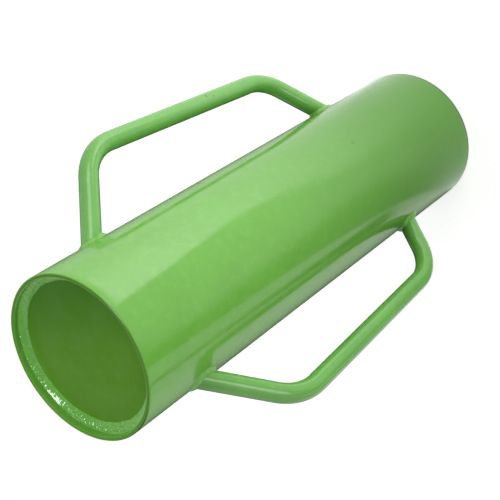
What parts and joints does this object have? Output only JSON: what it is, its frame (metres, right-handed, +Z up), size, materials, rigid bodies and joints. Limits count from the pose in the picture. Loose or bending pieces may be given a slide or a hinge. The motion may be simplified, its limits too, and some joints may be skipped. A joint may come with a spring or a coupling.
{
  "type": "hand post driver",
  "caption": "Heavy steel tube, closed at one end by a recessed welded plate, with a bent bar handle each side, for driving fence posts by hand.",
  "frame": {"origin": "centre of the tube's open mouth, in the plane of its rim, which is the surface the driver stands on", "axes": "+Z up the tube's axis from the mouth to the closed end; +X to the side of the right handle; -Y is the front, towards which both handles lean"},
  "size_m": [0.3407, 0.1684, 0.606],
  "materials": {
    "tube_paint": "gloss",
    "plate_paint": "gloss",
    "weld_paint": "gloss",
    "bar_paint": "gloss"
  },
  "bodies": {
    "root": {"driver_tube": "tube_paint", "strike_plate": "plate_paint", "plate_weld": "weld_paint", "right_handle": "bar_paint", "left_handle": "bar_paint", "right_upper_weld": "weld_paint", "right_lower_weld": "weld_paint", "left_upper_weld": "weld_paint", "left_lower_weld": "weld_paint"}
  },
  "joints": []
}
